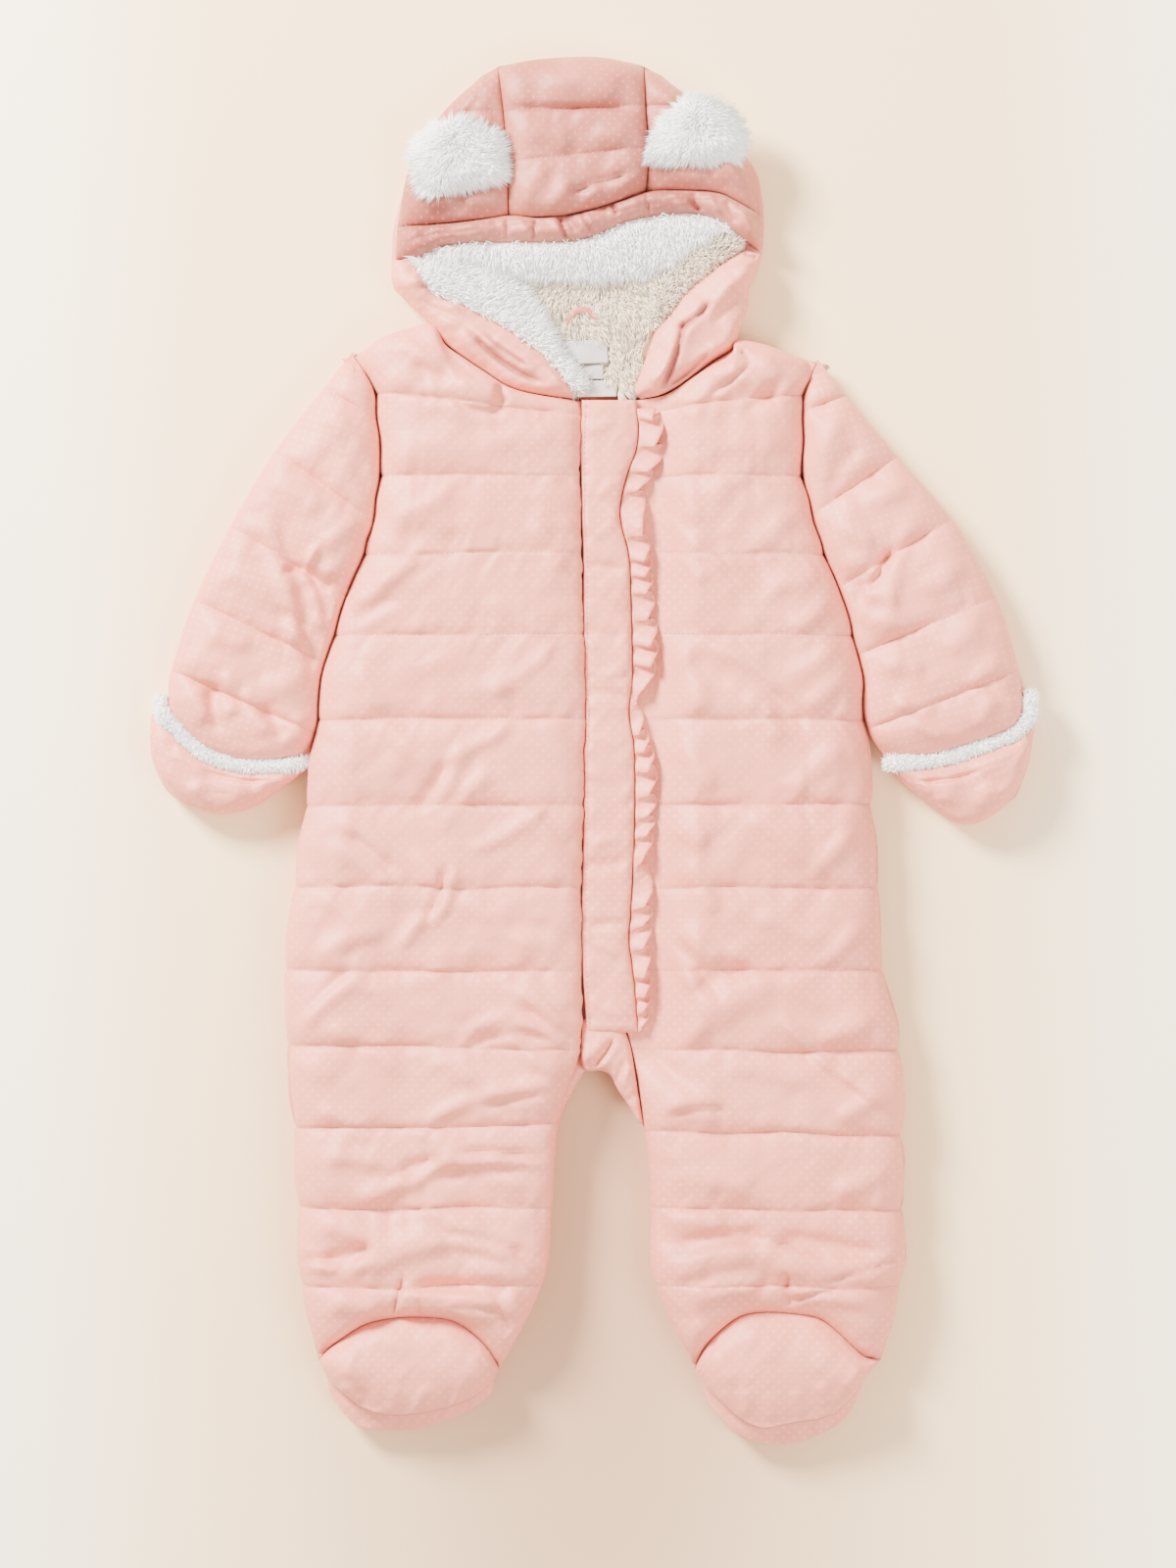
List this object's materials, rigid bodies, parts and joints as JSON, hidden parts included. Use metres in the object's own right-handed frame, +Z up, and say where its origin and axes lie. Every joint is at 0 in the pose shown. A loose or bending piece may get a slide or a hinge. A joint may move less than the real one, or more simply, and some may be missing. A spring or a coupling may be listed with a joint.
{
  "type": "baby snowsuit",
  "caption": "Padded one-piece winter suit for a baby, laid flat on its back: quilted body and sleeves, hood with plush ears, fold-over mittens, closed feet, placket with a gathered frill.",
  "frame": {"origin": "middle of the laid-out garment, on the surface it lies on", "axes": "+X to the wearer's left, +Y from the feet to the hood, +Z up from the surface, through the front"},
  "size_m": [0.494, 0.7738, 0.0403],
  "materials": {
    "shell": "dusty pink woven polyester, quilted, soft sheen, faint pin dots",
    "plush": "ivory long-pile plush",
    "trim": "white fluffy plush",
    "label": "bare woven satin label",
    "zip": "woven zip tape with a plush guard"
  },
  "bodies": {
    "root": {"front_right": "shell", "front_left": "shell", "back_right": "shell", "back_left": "shell", "placket": "shell", "placket_frill": "shell", "gusset": "shell", "sleeve_right": "shell", "sleeve_left": "shell", "mitten_right_front": "shell", "mitten_right_back": "shell", "mitten_left_front": "shell", "mitten_left_back": "shell", "toe_cap_right": "shell", "sole_right": "shell", "toe_cap_left": "shell", "sole_left": "shell", "hood_back": "shell", "hood_band_top": "shell", "hood_centre": "shell", "hood_side_right": "shell", "hood_side_left": "shell", "hood_band_right": "shell", "hood_band_left": "shell", "hanging_loop": "shell", "hood_lining": "plush", "hood_lining_side": "plush", "cuff_trim_right": "trim", "cuff_trim_left": "trim", "hood_fur_top": "trim", "hood_fur_right": "trim", "ear_right": "trim", "ear_left": "trim", "neck_label": "label", "size_tab": "label", "care_label": "label", "zip": "zip"}
  },
  "joints": []
}
